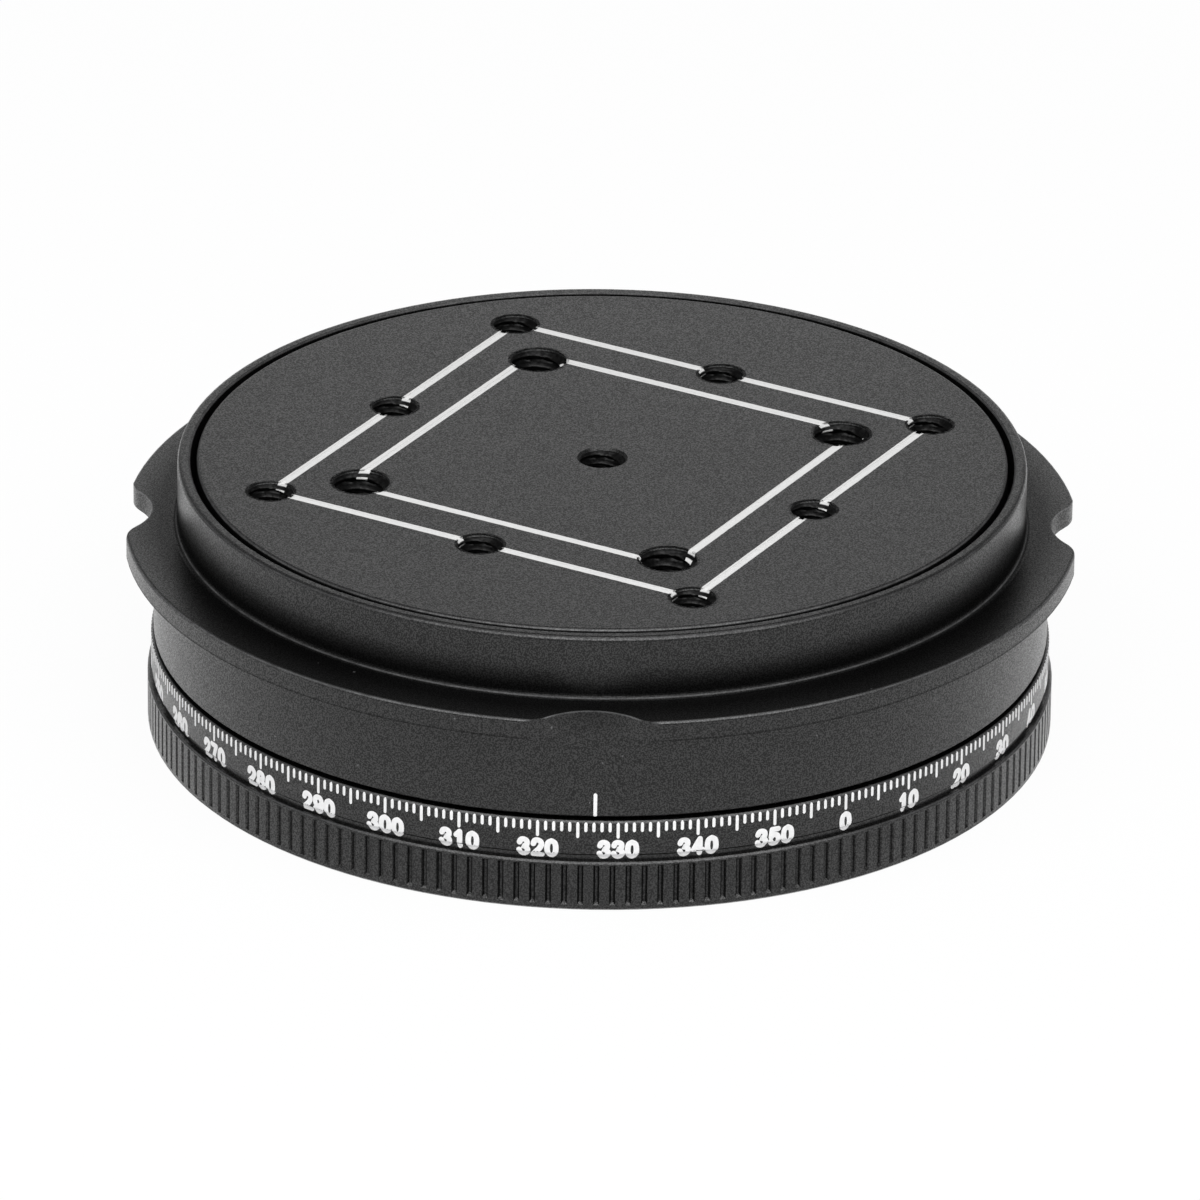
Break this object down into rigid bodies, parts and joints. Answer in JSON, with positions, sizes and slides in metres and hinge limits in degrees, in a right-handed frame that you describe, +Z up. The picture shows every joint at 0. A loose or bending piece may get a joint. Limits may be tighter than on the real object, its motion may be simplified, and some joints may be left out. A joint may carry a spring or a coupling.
{
  "type": "optical rotation mount",
  "caption": "Low-profile rotation mount: a round tapped platform and knurled degree dial turn in a flanged housing on a slim ball bearing, with a radial lock screw.",
  "frame": {"origin": "on the rotation axis, at the dial ring's lower face that the mount stands on", "axes": "+Z up along the rotation axis, out of the platform's tapped face; -Y towards the index line, +Y towards the lock screw"},
  "size_m": [0.0588, 0.0588, 0.0174],
  "materials": {
    "anodised_housing": "black anodised, satin",
    "anodised_platform": "black anodised, fine bead-blasted",
    "anodised_dial": "black anodised, knurled, white filled graduations",
    "bearing_steel": "ground",
    "ball_steel": "polished",
    "cage_brass": "machined",
    "spring_steel": "rolled strip",
    "screw_black": "black oxide",
    "washer_ptfe": "moulded, matt",
    "tip_nylon": "natural nylon"
  },
  "bodies": {
    "housing": {"housing": "anodised_housing", "bearing_retainer": "anodised_housing", "bearing_outer_race": "bearing_steel", "bearing_shield_upper": "bearing_steel", "bearing_shield_lower": "bearing_steel"},
    "rotor": {"platform": "anodised_platform", "dial_ring": "anodised_dial", "bearing_inner_race": "bearing_steel", "shim_ring": "bearing_steel", "wave_spring": "spring_steel", "thrust_washer": "washer_ptfe", "clamp_plate": "anodised_dial", "clamp_screw_1": "screw_black", "clamp_screw_2": "screw_black", "clamp_screw_3": "screw_black", "clamp_screw_4": "screw_black"},
    "cage": {"ball_cage": "cage_brass", "bearing_balls": "ball_steel"},
    "lock_tip": {"lock_tip": "tip_nylon"},
    "lock_screw": {"lock_screw": "screw_black"}
  },
  "joints": [
    {"name": "platform_turn", "type": "hinge", "parent": "housing", "child": "rotor", "pos_m": [0, 0, 0.0113], "axis": [0, 0, 1], "continuous": true},
    {"name": "cage_turn", "type": "hinge", "parent": "housing", "child": "cage", "pos_m": [0, 0, 0.0113], "axis": [0, 0, 1], "continuous": true},
    {"name": "lock_advance", "type": "slide", "parent": "housing", "child": "lock_tip", "axis": [0, -1, 0], "range_m": [-0.0009, 0.000075]},
    {"name": "lock_turn", "type": "hinge", "parent": "lock_tip", "child": "lock_screw", "pos_m": [0, 0.0244, 0.0081], "axis": [0, -1, 0], "range_deg": [-720, 60]}
  ],
  "couplings": [
    {"joint": "cage_turn", "follows": "platform_turn", "ratio": 0.4759},
    {"joint": "lock_turn", "follows": "lock_advance", "rad_per_m": 13963}
  ]
}
